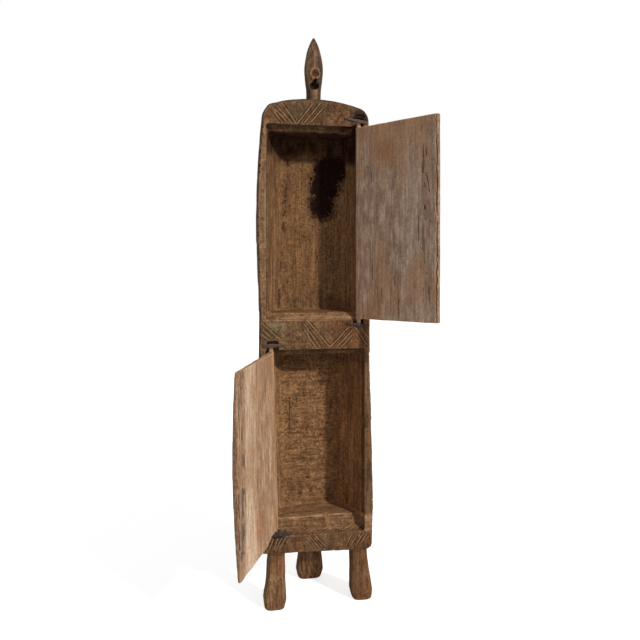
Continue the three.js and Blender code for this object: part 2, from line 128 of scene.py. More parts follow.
def lattice(cells, seed):
    """A repeatable random number from 0 to 1 for each whole-number place."""
    mixed = cells[:, 0] * 73856093 ^ cells[:, 1] * 19349663 ^ cells[:, 2] * 83492791 ^ seed * 2654435761
    mixed = (mixed ^ (mixed >> 13)) * 1274126177 & 0xFFFFFFFF
    mixed = (mixed ^ (mixed >> 15)) * 2246822519 & 0xFFFFFFFF
    return ((mixed ^ (mixed >> 16)) & 0xFFFF) / 65535


def soft_noise(points, size, seed):
    """Smooth noise from -1 to 1. size is how far apart its hills are, along each axis."""
    scaled = points / np.asarray(size, float)
    base = np.floor(scaled).astype(np.int64)
    share = scaled - base
    share = share * share * (3 - 2 * share)
    total = np.zeros(len(points))
    for corner in itertools.product((0, 1), repeat=3):
        weight = np.prod(np.where(corner, share, 1 - share), axis=1)
        total += weight * lattice(base + corner, seed)
    return total * 2 - 1


def rough_noise(points, size, seed, octaves=4):
    """Layers of soft noise, each half as large and half as strong as the one before."""
    total = np.zeros(len(points))
    strength = 1.0
    for octave in range(octaves):
        total += strength * soft_noise(points, np.asarray(size, float) / 2**octave, seed + octave)
        strength /= 2
    return total / 2


def tool_cuts(points, size, seed):
    """Height from 0 at the bottom of a tool cut to about 1 on the ridge between two cuts."""
    scaled = points / np.asarray(size, float)
    base = np.floor(scaled).astype(np.int64)
    nearest = np.full(len(points), 9.0)
    for step in itertools.product((-1, 0, 1), repeat=3):
        cell = base + step
        place = np.stack([lattice(cell, seed + axis) for axis in range(3)], axis=1)
        nearest = np.minimum(nearest, ((cell + place - scaled) ** 2).sum(axis=1))
    return np.clip(nearest, 0, 1)


def chip_marks(across, up, width, height, seed):
    """Flat chips left by an adze, as depth from 0 to about 1, and the seams between them."""
    scaled = np.stack([across / width, np.zeros(len(across)), up / height], axis=1)
    base = np.floor(scaled).astype(np.int64)
    nearest = np.full(len(across), 9.0)
    second = nearest.copy()
    tone = np.zeros(len(across))
    slope = np.zeros(len(across))
    for side, rung in itertools.product((-1, 0, 1), repeat=2):
        cell = base + (side, 0, rung)
        aside = scaled[:, 0] - cell[:, 0] - lattice(cell, seed)
        above = scaled[:, 2] - cell[:, 2] - lattice(cell, seed + 1)
        distance = np.maximum(np.abs(aside), np.abs(above)) + 0.2 * np.hypot(aside, above)
        closer = distance < nearest
        second = np.where(closer, nearest, np.minimum(second, distance))
        tone = np.where(closer, lattice(cell, seed + 2), tone)
        slope = np.where(closer, above, slope)
        nearest = np.minimum(nearest, distance)
    depth = np.clip(0.6 * tone + 0.35 * (slope + 0.5), 0, 1)
    return depth, rise(second - nearest, 0.16, 0.03)


def rise(values, low, high):
    """0 below low, 1 above high, and a smooth rise between them. It falls if low is above high."""
    share = np.clip((values - low) / (high - low), 0, 1)
    return share * share * (3 - 2 * share)


def between(values, low, high, soft):
    """1 between low and high, and 0 further than soft outside them."""
    return rise(values, low - soft, low) * rise(values, high + soft, high)


def distance_to_line(across, up, start, end):
    """Distance from each point to the straight line between two places, and how far along it is."""
    run = np.subtract(end, start)
    share = np.clip(((across - start[0]) * run[0] + (up - start[1]) * run[1]) / (run @ run), 0, 1)
    gap = np.hypot(across - start[0] - share * run[0], up - start[1] - share * run[1])
    return gap, share


# Meshes as arrays of points, in millimetres


def read_rows(parts, name):
    """One row of three numbers for each part of a mesh."""
    flat = np.empty(len(parts) * 3, np.float32)
    parts.foreach_get(name, flat)
    return flat.reshape(-1, 3).astype(float)


def points_of(mesh):
    return read_rows(mesh.vertices, "co") / MM


def normals_of(mesh):
    return read_rows(mesh.vertex_normals, "vector")


def move_points(mesh, points):
    mesh.vertices.foreach_set("co", (points * MM).astype(np.float32).ravel())
    mesh.update()


def from_front(points):
    """Where points lie across the cabinet, back from its front and up from the floor."""
    x, y, z = points.T
    return x, y - front_y, z


def paint(mesh, name, values):
    """Keeps a number for each point of the mesh, for its material to read."""
    layer = mesh.attributes.new(name, "FLOAT", "POINT")
    layer.data.foreach_set("value", values.astype(np.float32))


def smoothed(mesh, points, rounds, share=1.0):
    """The points after each has moved towards the middle of its neighbours, rounds times over."""
    flat = np.empty(len(mesh.edges) * 2, np.int32)
    mesh.edges.foreach_get("vertices", flat)
    first, second = flat.reshape(-1, 2).T
    count = len(points)
    neighbours = np.bincount(first, minlength=count) + np.bincount(second, minlength=count)
    result = points.copy()
    for _ in range(rounds):
        for axis in range(3):
            total = np.bincount(first, weights=result[second, axis], minlength=count)
            total += np.bincount(second, weights=result[first, axis], minlength=count)
            result[:, axis] += share * (total / neighbours - result[:, axis])
    return result


def standing_out(mesh, points, rounds):
    """How far each point stands out of the surface round it: plus on edges, minus in grooves."""
    return ((points - smoothed(mesh, points, rounds)) * normals_of(mesh)).sum(axis=1)


def even_skin(node, name, fineness):
    """A new piece in the shape of a built node, with an even skin of small faces."""
    piece = bpy.data.objects.new(name, frame["nodes"][node].data.copy())
    bpy.context.scene.collection.objects.link(piece)
    remesh = piece.modifiers.new("even skin", "REMESH")
    remesh.mode = "VOXEL"
    remesh.voxel_size = fineness * MM
    depsgraph = bpy.context.evaluated_depsgraph_get()
    mesh = bpy.data.meshes.new_from_object(piece.evaluated_get(depsgraph))
    piece.modifiers.clear()
    piece.data = mesh
    mesh.name = name
    mesh.materials.clear()
    spare = [layer.name for layer in mesh.attributes if not (layer.is_required or layer.is_internal)]
    for layer_name in spare:
        mesh.attributes.remove(mesh.attributes[layer_name])
    return piece


def refine(mesh, is_wanted):
    """Splits in four each face whose middle is_wanted picks."""
    wanted = is_wanted(read_rows(mesh.polygons, "center") / MM)
    work = bmesh.new()
    work.from_mesh(mesh)
    work.faces.ensure_lookup_table()
    chosen = {edge for index in np.flatnonzero(wanted) for edge in work.faces[index].edges}
    ordered = sorted(chosen, key=lambda edge: edge.index)
    bmesh.ops.subdivide_edges(work, edges=ordered, cuts=1, use_grid_fill=True)
    bmesh.ops.triangulate(work, faces=[face for face in work.faces if len(face.verts) > 4])
    work.to_mesh(mesh)
    work.free()
    mesh.update()


def finish_piece(piece, node, body, material):
    """Sets a dressed piece in place of its built node."""
    piece.data.materials.append(material)
    piece.data.shade_smooth()
    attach(piece, body)
    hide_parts(node)


# Carving on the front. Each ridge runs from one place to another, and the wood on both sides of it is
# cut away. A place is its distance across from the trunk's mid-plane and its height.

top_band_ridges = [
    (-88, 991, -67, 964), (-87, 995, -57, 966), (-78, 999, -50, 966), (-67, 1003, -41, 966),
    (-37, 966, -8, 1004), (-23, 967, 8, 1007), (-10, 969, 13, 997),
]
middle_band_ridges = [
    (-112, 572, -74, 537), (-112, 560, -89, 539), (-112, 549, -96, 536), (-21, 549, -1, 518),
    (-22, 563, 8, 519), (-15, 570, 26, 520), (30, 519, 67, 557), (42, 518, 73, 549),
    (54, 519, 73, 540), (79, 558, 104, 522), (89, 560, 109, 533),
]
base_band_ridges = [
    (-94, 121, -85, 143), (-84, 123, -76, 144), (-80, 122, -68, 144), (-72, 122, -61, 142),
    (-18, 139, -7, 125), (-16, 144, 11, 111), (-4, 145, 19, 119), (62, 118, 71, 135),
    (72, 117, 83, 136), (83, 118, 95, 135), (94, 121, 104, 137),
]
faint_ridges = [
    (26, 1004, 39, 992), (31, 1006, 46, 991), (43, 973, 53, 990), (-80, 546, -70, 560),
    (-61, 540, -49, 549), (8, 563, 12, 572),
]
# Cracks and slips of the tool on the two back walls.
wall_cracks = [
    (-43, 397, -43, 324), (-44, 324, -13, 322), (-17, 408, 8, 409), (22, 452, 36, 451),
    (18, 433, 44, 432),
]
ridge_half = 1.5
groove_reach = 4.6
groove_depth = 1.8


def near_lines(points, lines, inner, outer, fade):
    """1 within the inner distance of any line, falling to 0 at the outer one and past the line's ends."""
    closest = np.zeros(len(points))
    for ends in lines:
        start, end = np.reshape(ends, (2, 2))
        run = (end - start) / math.dist(start, end)
        from_start = points[:, (0, 2)] - start
        aside = np.abs(from_start @ (run[1], -run[0]))
        length = between(from_start @ run, 0, math.dist(start, end), fade)
        closest = np.maximum(closest, rise(aside, outer, inner) * length)
    return closest


def fine_places(points):
    """The incised bands, the mouths' edges, the knob and the back walls, which need smaller faces."""
    x, depth, z = from_front(points)
    is_front = depth < 3
    in_top = z > lintel_z - 3
    in_middle = (z > band_bottom_z - 3) & (z < band_top_z + 3)
    in_base = (z > underside_z) & (z < base_ledge_z + 5)
    on_ledge = (z > base_ledge_z - 6) & (z < lower_floor_z + 4) & (depth < sill_reach)
    on_sill = (z > band_top_z - 2) & (z < upper_floor_z + 4) & (depth < sill_reach)
    on_lintel = (z > upper_ceiling_z - 3) & (z < lintel_z) & (depth < sill_reach)
    on_jamb = (np.abs(x) > 88) & (np.abs(x) < 104) & (z > lower_floor_z) & (z < lintel_z)
    on_knob = z > crown_z + 3
    in_hollow = (z > lower_floor_z) & (z < upper_ceiling_z)
    on_back_wall = in_hollow & (np.abs(x) < 62) & (np.abs(depth - back_wall_depth) < 5)
    in_corner = in_hollow & (x > -74) & (x < -40) & (z > upper_floor_z)
    in_corner &= (depth > 46) & (depth < 90)
    on_edge = on_ledge | on_sill | on_lintel | (on_jamb & (depth < rebate_depth + 3))
    on_band = is_front & (in_top | in_middle | in_base)
    return on_band | on_edge | on_knob | on_back_wall | in_corner


def faces_front(normals):
    """1 where the wood faces the viewer, 0 where it faces the sides or the back."""
    return rise(-normals[:, 1], 0.5, 0.8)


def low_down(z):
    """1 in and round the lower compartment, 0 above its ceiling."""
    return rise(z, band_bottom_z, lower_ceiling_z)


def within_mouth(x):
    """1 between the two jambs, 0 beyond them."""
    return rise(np.abs(x), mouth_half + 3, mouth_half + 1)


def hollow_share(points, normals):
    """1 inside the two compartments, 0 outside."""
    x, depth, z = from_front(points)
    upper = between(z, upper_floor_z - 3, upper_ceiling_z + 3, 2)
    lower = between(z, lower_floor_z - 3, lower_ceiling_z + 3, 2)
    behind_rebate = rise(depth, rebate_depth - 1, rebate_depth + 3)
    out_of_axis = np.stack([x, depth], axis=1)
    faces_out = (out_of_axis * normals[:, :2]).sum(axis=1) / np.hypot(*out_of_axis.T)
    return np.maximum(upper, lower) * behind_rebate * within_mouth(x) * rise(faces_out, 0.4, 0.2)


def mouth_share(points):
    """1 in the two mouths and on the rebates, sills and risers behind them, 0 elsewhere."""
    x, depth, z = from_front(points)
    height = between(z, base_ledge_z - 2, lintel_z + 4, 2)
    return within_mouth(x) * height * between(depth, 6, 36, 2.5)


def hewn_body(points, normals, hollow):
    """How far the tools took the skin down on the trunk, legs and knob, and the seams between chips,
    which are painted dark as shade.
    """
    x, depth, z = from_front(points)
    is_leg = rise(z, leg_top_z, leg_top_z - 6)
    deep_grain = 1 + 2.4 * is_leg
    is_knob = rise(z, crown_z + 4, crown_z + 12)
    is_front = rise(-normals[:, 1], 0.7, 0.9) * rise(depth, 4, 2)
    back_wall = hollow * faces_front(normals)
    side_wall = hollow * (1 - back_wall) * rise(np.abs(normals[:, 0]), 0.3, 0.6)
    outside = (1 - hollow) * (1 - is_leg) * (1 - is_knob)
    is_riser = faces_front(normals) * between(depth, 6, 38, 2)
    round_side = outside * (1 - is_front) * (1 - is_riser)
    arc = np.arctan2(x, depth) * trunk_radius

    lift = np.zeros(len(points))
    shaded_seams = np.zeros(len(points))
    rows = np.flatnonzero(back_wall > 0)
    coarse, coarse_shaded_seam = chip_marks(x[rows], z[rows], 17, 8.5, 211)
    fine, fine_shaded_seam = chip_marks(x[rows], z[rows], 8, 5, 223)
    is_low = low_down(z[rows])
    broken = rise(soft_noise(points[rows], 11, 229), -0.35, 0.45)
    chips = is_low * (1.3 * coarse + 0.6 * fine) + (1 - is_low) * (0.5 * coarse + 0.6 * fine)
    lift[rows] -= back_wall[rows] * chips
    # Dark lines of painted shade along the seams between chips.
    lines = is_low * np.maximum(0.5 * coarse_shaded_seam, 0.25 * fine_shaded_seam) + (1 - is_low) * 0.4 * fine_shaded_seam
    shaded_seams[rows] = back_wall[rows] * lines * broken

    rows = np.flatnonzero(side_wall > 0)
    chips, _ = chip_marks(points[rows, 1], z[rows], 15, 48, 233)
    lift[rows] -= 0.8 * side_wall[rows] * chips
    rows = np.flatnonzero(round_side > 0)
    chips, shaded_seam = chip_marks(arc[rows], z[rows], 17, 46, 239)
    lift[rows] -= 1.2 * round_side[rows] * (chips - 0.5)
    shaded_seams[rows] = np.maximum(shaded_seams[rows], 0.3 * round_side[rows] * shaded_seam)

    on_sole = rise(z, 7, 1) * rise(-normals[:, 2], 0.5, 0.8)
    grain = rough_noise(points, (4, 4, 60), 31, 3)
    swell = rough_noise(points, (45, 45, 90), 41, 3)
    lift += 0.5 * swell * round_side - 0.4 * np.abs(swell) * (1 - round_side) * (1 - is_knob)
    lift += 0.3 * np.maximum(round_side, is_leg)
    lift -= 0.9 * (0.5 - tool_cuts(points, (9, 9, 70), 53)) * is_leg
    lift -= 0.8 * (0.4 - tool_cuts(points, (9, 9, 24), 59)) * is_knob
    lift -= 0.35 * grain * deep_grain * (1 - is_knob)
    return lift * (1 - on_sole), shaded_seams


def edge_nicks(points, normals):
    """Small cuts on the two long front edges of the trunk, at no even pace. They are also painted dark as
    shade.
    """
    x, depth, z = from_front(points)
    on_arris = rise(np.abs(normals[:, 0]), 0.3, 0.65) * rise(depth, 16, 6)
    on_trunk = between(z, underside_z + 10, crown_z - 20, 4) * rise(np.abs(x), 103, 107)
    marks = soft_noise(points, (7, 7, 3.4), 67)
    return on_arris * on_trunk * rise(marks, 0.25, 0.6)


def ledge_gouges(points):
    """Slanting gouges along the ledge under the lower door, like the strands of a rope. The gouges are
    painted dark as shade, and the crests between them pale as highlights.
    """
    x, depth, z = from_front(points)
    on_ledge = between(z, base_ledge_z - 4, base_ledge_z + 12, 3)
    across = between(depth, 4, 21, 1.5)
    slant = x - 1.3 * depth - 1.1 * (z - base_ledge_z)
    wave = np.cos((slant / 12 + 0.4 * soft_noise(points, 19, 73)) * 2 * math.pi)
    broken = rise(soft_noise(points, 8, 79), -0.8, 0.2)
    strip = on_ledge * across
    return strip * rise(wave, 0.35, 0.95) * broken, strip * rise(wave, -0.5, -0.95)


# Burnt places on the upper back wall: across, up, how far each is drawn wide and tall, and its radius.
burnt_places = [(46, 884, 1, 0.92, 34), (32, 850, 1, 1, 30), (27, 812, 1, 1.25, 23), (6, 866, 1.6, 1, 4)]


def soot_depth(points):
    """How deep each point lies in the burnt patch on the upper back wall, from -1 outside to 1."""
    x, depth, z = from_front(points)
    outlines = [
        np.hypot((x - across) / wide, (z - up) / tall) - radius
        for across, up, wide, tall, radius in burnt_places
    ]
    edge = np.minimum.reduce(outlines) + 5 * rough_noise(points, (17, 17, 17), 83, 3)
    return rise(depth, 60, 72) * (1 + np.clip(-edge / 14, -1, 1)) - 1


def warm_share(points):
    """Which outer wood is reddish, 1, and which has gone greenish grey, -1."""
    x, depth, z = from_front(points)
    at_front = rise(depth, 14, 5)
    tone = 0.8 * rough_noise(points, (40, 40, 50), 151, 4)
    on_band = between(z, band_bottom_z, band_top_z, 6)
    on_crown = 0.4 * between(x, 35, 80, 15) * rise(z, lintel_z - 4, lintel_z + 4)
    on_crown -= 0.4 * between(x, -35, 25, 15) * rise(z, lintel_z + 8, lintel_z + 20)
    tone += at_front * (on_band * (rise(x, -60, 50) - 0.45) + on_crown)
    tone += rise(z, base_ledge_z, underside_z) * (0.25 + 0.4 * rise(x, 20, 70))
    return np.clip(tone, -1, 1)


def pale_and_shade_share(points, hollow, mouth):
    """Which wood is drier and paler than the rest: low down, on the sills and inside on the left. The
    right of the lower compartment is kept less pale, as painted shade.
    """
    x, depth, z = from_front(points)
    low = np.maximum(hollow, mouth) * rise(z, lower_ceiling_z + 4, lower_ceiling_z - 6)
    above_floor = rise(z, lower_floor_z + 3, lower_floor_z + 8)
    # Painted shade: the right of the lower compartment, where the key light does not reach, is made less
    # pale.
    low *= 1 - 0.38 * rise(x, 22, 48) * hollow * above_floor
    left = 0.4 * hollow * rise(x, -45, -60)
    band = between(z, band_bottom_z, band_top_z, 2) * (0.5 - 0.2 * rise(x, 0, 80))
    band *= rise(depth, 12, 5)
    sill = mouth * between(z, band_top_z, upper_floor_z + 3, 2)
    legs = rise(z, leg_top_z, leg_top_z - 6) * (0.8 - 0.4 * rise(x, 0, 60))
    base = 0.2 * rise(z, base_ledge_z, base_ledge_z - 4) * rise(depth, 8, 4)
    upper = 0.36 * hollow
    crown = 0.3 * between(x, 20, 80, 10) * rise(z, lintel_z, lintel_z + 3)
    crown *= rise(depth, 8, 4)
    return np.clip(np.maximum.reduce([low, left, band, sill, legs, base, upper, crown]), 0, 1)


def corner_marks(points, hollow):
    """Dark nicks down the corner where the left wall of the upper compartment meets its back."""
    x, depth, z = from_front(points)
    corner_x = -64 + 0.064 * (z - 630) + 2.2 * soft_noise(points, (90, 90, 17), 167)
    marks = rise(np.abs(x - corner_x), 3.2, 1.1) * rise(depth, 50, 62)
    marks *= rise(rough_noise(points, (60, 60, 12), 173, 3), -0.1, 0.2)
    return marks * hollow * between(z, upper_floor_z + 4, 905, 8)


def grain_shares(points, normals, hollow, mouth):
    """How much the grain shows as long upright streaks, and where it lies level, on floors and risers."""
    x, depth, z = from_front(points)
    facing = faces_front(normals)
    level = mouth * (1 - hollow) * facing
    level = np.maximum(level, np.maximum(hollow, mouth) * rise(normals[:, 2], 0.5, 0.8))
    low_wall = hollow * facing * low_down(z)
    level = np.maximum(level, 0.7 * low_wall * rise(soft_noise(points, 40, 197), -0.8, 0.4))
    front = facing * rise(depth, 4, 2)
    jamb = rise(np.abs(x), mouth_half - 2, mouth_half + 2)
    jamb *= rise(np.abs(z - (band_bottom_z + band_top_z) / 2), 27, 32) * rise(z, lintel_z + 4, lintel_z)
    back_wall = facing * (0.2 + 0.3 * rise(z, band_bottom_z, band_top_z))
    upright = np.where(hollow > 0.5, np.maximum(back_wall, (1 - facing) * 0.9), 0.75)
    upright = upright * (1 - front) + front * (0.1 + 0.6 * jamb)
    upright *= 1 - 0.5 * mouth
    upright = np.maximum(upright, rise(z, underside_z + 2, underside_z - 4))
    return upright * (1 - level), level


def grime_and_shade_share(points, normals):
    """Old dirt along the crown's rounded edge and on a patch of the band, and painted shade round the top
    notch.
    """
    x, depth, z = from_front(points)
    on_crown = rise(normals[:, 2], 0.3, 0.85) * between(z, lintel_z + 12, crown_z + 6, 3)
    on_crown *= rise(depth, 40, 20)
    # Painted shade in the dark hollow round the top notch.
    notch_shade = rise(np.hypot(x - 92, (z - 985) * 1.1), 24, 8)
    notch_shade *= rise(depth, 16, 4)
    patch = between(x, -39, -29, 2) * between(z, 528, 541, 2)
    patch *= rise(depth, 6, 2)
    low_rim = between(z, underside_z - 1, underside_z + 9, 5) * rise(depth, 12, 3)
    low_rim *= rise(soft_noise(points, 26, 199), -0.5, 0.6)
    return np.clip(0.8 * on_crown + 1.3 * notch_shade + 0.5 * patch + 0.45 * low_rim, 0, 1)


def shade_and_smoke_share(points):
    """Darkening under the ceilings, strongest in the upper right corner: painted shade, with some
    darkening by smoke and dust.
    """
    x, depth, z = from_front(points)
    drift = 16 * rough_noise(points, (40, 40, 30), 157, 4)
    upper = 0.92 * rise(z + drift, 893, 925)
    right = 1.35 * rise(x + drift, 14, 50) * rise(z + drift, 880, 915)
    left = 0.95 * rise(-x + drift, 40, 56) * rise(z, 905, 925)
    lower = 0.3 * between(z + drift, 480, lower_ceiling_z + 20, 12) * rise(z, 540, 520)
    return np.clip(np.maximum(np.maximum(upper, right), left) + lower, 0, 1)


def rubbed_share(points, normals):
    """Where hands and things have rubbed the wood pale: the jambs, the sills and the ledge's edge."""
    x, depth, z = from_front(points)
    at_front = rise(depth, 6, 2)
    beside_mouth = between(z, band_top_z, lintel_z + 6, 4)
    beside_mouth = np.maximum(beside_mouth, 0.4 * between(z, base_ledge_z, band_bottom_z, 4))
    jamb = at_front * beside_mouth * rise(np.abs(x), 92, 97)
    jamb *= 1 - 0.6 * rise(x, 60, 80) * low_down(z)
    in_reach = rise(depth, 26, 19)
    upper_sill = between(z, band_top_z - 1, upper_floor_z + 3, 1.5) * in_reach
    upper_sill *= rise(x, -89, -78)
    nosing = between(z, lower_floor_z - 4, lower_floor_z + 3, 3)
    riser = between(z, base_ledge_z + 2, lower_floor_z, 2)
    lower_sill = np.maximum(nosing, 0.55 * riser) * in_reach
    ledge_edge = at_front * between(z, base_ledge_z - 2.5, base_ledge_z + 2, 1)
    floor = between(z, lower_floor_z - 2, lower_floor_z + 3, 2) * rise(normals[:, 2], 0.5, 0.8)
    return np.clip(0.6 * jamb + upper_sill + lower_sill + 0.4 * ledge_edge + 0.45 * floor, 0, 1)


def lichen_strip(points):
    """A pale greenish strip down the inner edge of the left jamb."""
    x, depth, z = from_front(points)
    wander = 1.2 * soft_noise(points, (400, 400, 40), 107)
    line = rise(np.abs(x + 101.8 + wander), 3.4, 1.0)
    broken = rise(soft_noise(points, (40, 40, 14), 109), -0.7, 0.1)
    strip = line * broken * between(z, 735, 850, 40)
    on_band = between(x, -90, -64, 8) * between(z, 557, 567, 6)
    return np.maximum(strip, 0.7 * on_band) * rise(depth, 6, 3)


def worn_edge_highlights(points):
    """Painted highlights, brighter than the wood, on the worn lower edge of the lintel, behind the upper
    door's rebate, and on the two sills' noses.
    """
    x, depth, z = from_front(points)
    lintel = rise(np.hypot(depth - rebate_depth, z - upper_ceiling_z), 3.0, 1.2) * rise(x, 84, 70)
    upper_nose = rise(np.hypot(depth - 22, z - upper_floor_z), 4, 1.5) * rise(x, -30, 30)
    lower_nose = rise(np.hypot(depth - 27, (z - lower_floor_z) * 1.5), 6, 2.5) * rise(x, 84, 70)
    broken = rise(soft_noise(points, (26, 9, 9), 181), -0.8, 0.1)
    broken *= rise(np.abs(x), mouth_half + 4, mouth_half)
    return np.clip(broken * (0.7 * lintel + 0.6 * upper_nose + lower_nose), 0, 1)


# Places across and up, in millimetres: the knob's bowl, its pit and the trail between them, and the
# cavity over the top staple.
bowl_x, bowl_z = 5.4, 1078
pit_x, pit_z = 3.2, 1054
trail_x, trail_z = 5.5, 1064
cavity_x, cavity_z = 89, 984


def shaded_peg_notches(points, normals):
    """Where shade is painted: the insides of the four notches that hold the pegs, and the cavity over the
    top staple.
    """
    x, depth, z = from_front(points)
    inside = np.zeros(len(points))
    for node in staples:
        low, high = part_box(node)
        hinge = upper_axis if node.startswith("upper") else lower_axis
        peg_x = hinge["pos_m"][0] / MM
        wide = between(x, peg_x - 10, peg_x + 10, 2)
        tall = between(z, low.z / MM - 9, high.z / MM + 9, 2)
        inside = np.maximum(inside, wide * tall * between(depth, 3, 22, 1.5))
    inside *= rise(-normals[:, 1], 0.7, 0.4)
    ragged = 4 * rough_noise(points, 11, 191, 4)
    shaded_cavity = rise(np.hypot((x - cavity_x) / 2.2, z - cavity_z) + ragged, 6.6, 4.4)
    return inside, shaded_cavity * rise(depth, 9, 4) * rise(x, 106, 101)


def knob_pits(points):
    """The bowl and the pit in the knob's front, from 1 in the middle to 0 at the rim, and the lip. The
    pit is painted near black as shade, and the lip pale as a highlight.
    """
    x, depth, z = from_front(points)
    is_front = rise(depth, 58, 54)
    rough = 3.2 * rough_noise(points, 8, 163, 4)
    upper = np.hypot(x - bowl_x, (z - bowl_z) / 1.15) + rough
    lower = np.hypot((x - pit_x) / 1.25, (z - pit_z) / 0.85) + 1.4 * rough
    trail = np.hypot(x - trail_x, (z - trail_z) / 1.5) + 1.2 * rough
    bowl = rise(upper, 8.2, 5)
    shaded_pit = np.maximum(rise(lower, 9.5, 7), 0.9 * rise(trail, 5, 3))
    highlit_lip = between(upper, 8.2, 10, 1.5) * rise(soft_noise(points, 5, 179), -0.9, 0.1)
    return is_front * bowl, is_front * shaded_pit, is_front * highlit_lip * (1 - shaded_pit)


def make_body(material):
    piece = even_skin("body", "cabinet_body", body_skin)
    mesh = piece.data
    built = points_of(mesh)
    relaxed = smoothed(mesh, built, 2, 0.6)
    on_tip = rise(built[:, 2], crown_z + 4, crown_z + 20)[:, None]
    move_points(mesh, relaxed + 0.7 * on_tip * (built - relaxed))
    refine(mesh, fine_places)
    points = points_of(mesh)
    normals = normals_of(mesh)
    x, depth, z = from_front(points)
    facing_front = rise(-normals[:, 1], 0.4, 0.7) * rise(depth, 4, 2)
    over_edge = rise(-normals[:, 1], 0.05, 0.35) * rise(z, lintel_z + 2, lintel_z + 6)
    facing_front = np.maximum(facing_front, over_edge * rise(depth, 13, 9))
    carved = top_band_ridges + middle_band_ridges + base_band_ridges
    wobble = points + 0.9 * np.stack([soft_noise(points, 14, seed) for seed in (3, 5, 7)], axis=1)
    # The carved ridges are painted pale as highlights, and the grooves and faint cuts beside them dark as
    # shade.
    highlit_ridge = near_lines(wobble, carved, 0.3, ridge_half + 0.9, 3) * facing_front
    shaded_groove = near_lines(wobble, carved, ridge_half + 1.2, groove_reach, 3) * facing_front * (1 - highlit_ridge)
    shaded_groove *= rise(soft_noise(points, 9, 127), -1.0, 0.1)
    shaded_faint_cut = near_lines(wobble, faint_ridges, 0.5, 1.8, 3) * facing_front
    hollow = hollow_share(points, normals)
    mouth = mouth_share(points)
    back_wall = hollow * rise(-normals[:, 1], 0.6, 0.85)
    crack = near_lines(wobble, wall_cracks, 0.2, 1.5, 2) * back_wall
    crack = np.maximum(crack, corner_marks(points, hollow))
    lift, shaded_seams = hewn_body(points, normals, hollow)
    rubbed = rubbed_share(points, normals)
    lift *= 1 - 0.7 * np.maximum(facing_front, rubbed)
    lift -= groove_depth * shaded_groove + 0.7 * shaded_faint_cut + 1.8 * crack
    shaded_nicks = edge_nicks(points, normals)
    shaded_gouges, highlit_strands = ledge_gouges(points)
    bowl, shaded_pit, highlit_lip = knob_pits(points)
    shaded_notches, shaded_cavity = shaded_peg_notches(points, normals)
    shaded_cavity *= 1 - hollow
    lift -= 1.5 * shaded_nicks + 1.3 * shaded_gouges + 1.5 * bowl + 3 * shaded_pit - 0.6 * highlit_lip
    lift -= 3.5 * shaded_cavity * facing_front
    upright, level = grain_shares(points, normals, hollow, mouth)
    on_base = 1 - 0.2 * rise(z, base_ledge_z + 4, base_ledge_z)
    top_scored = between(x, 18, 84, 6) * rise(z, lintel_z, lintel_z + 4)
    band_scored = between(z, band_bottom_z, band_top_z, 3) * rise(x, 10, -20)
    scored = np.maximum(top_scored, band_scored) * facing_front
    chips = np.maximum(back_wall * (0.4 + 0.6 * low_down(z)), 0.8 * scored)
    paint_on = {
        "hollow": hollow,
        "soot": hollow * (soot_depth(points) + 1) - 1,
        # Painted shade, with some smoke darkening, under the ceilings and in the upper right corner.
        "shade_and_smoke": shade_and_smoke_share(points) * np.maximum(hollow, mouth * rise(x, 40, 60)),
        # Grime, with painted shade in the peg notches and round the top notch.
        "grime_and_shade": np.clip(grime_and_shade_share(points, normals) + shaded_notches, 0, 1),
        "warm": warm_share(points),
        "knob": rise(z, crown_z + 2, crown_z + 8),
        # Painted highlights on the carved ridges, the knob's lip and the crests between the ledge's
        # gouges.
        "highlit_ridge": np.clip(highlit_ridge * on_base + 0.8 * highlit_lip + 0.4 * highlit_strands, 0, 1),
        # Painted highlights along the worn edges of the lintel and sills.
        "worn_edge_highlight": worn_edge_highlights(points),
        # Painted shade in the grooves, the faint cuts and the ledge's gouges.
        "shaded_groove": np.clip(shaded_groove + 0.6 * shaded_faint_cut + 0.75 * shaded_gouges, 0, 1),
        # Painted shade along the chip seams and in the edge nicks, with the real cracks.
        "shaded_seam": np.clip(shaded_seams + crack + 0.8 * shaded_nicks, 0, 1),
        "rubbed": rubbed,
        "chips": chips,
        "lichen": lichen_strip(points),
        "bowl": bowl,
        # Painted shade in the knob's pit and the cavity over the top staple.
        "shaded_pit": np.maximum(shaded_pit, shaded_cavity * facing_front),
        "upright": upright,
        "level": level,
        # Paleness, lowered on the right of the lower compartment as painted shade.
        "pale": pale_and_shade_share(points, hollow, mouth),
    }
    points += normals * lift[:, None]
    points[:, 2] = np.clip(points[:, 2], 0, body_high.z / MM)
    move_points(mesh, points)
    standing = np.clip(standing_out(mesh, points, 5) / 0.6, -1, 1)
    sheltered = np.maximum(hollow, mouth)
    paint(mesh, "standing", standing * (1 - 0.75 * sheltered))
    for name, values in paint_on.items():
        paint(mesh, name, values)
    finish_piece(piece, "body", "cabinet", material)


# Doors. Places on a plank are across its width, from its hinge axis, and up from the floor, in
# millimetres. The free edge is such a place across.

free_edge = 184.3


def across_plank(points, axis, along):
    """How far each point lies from the hinge axis, across the plank."""
    at = np.array(axis["pos_m"]) / MM
    direction = np.array(axis["axis"])
    climb = (points[:, 2] - at[2]) / direction[2]
    return (points[:, :2] - at[:2] - climb[:, None] * direction[:2]) @ along


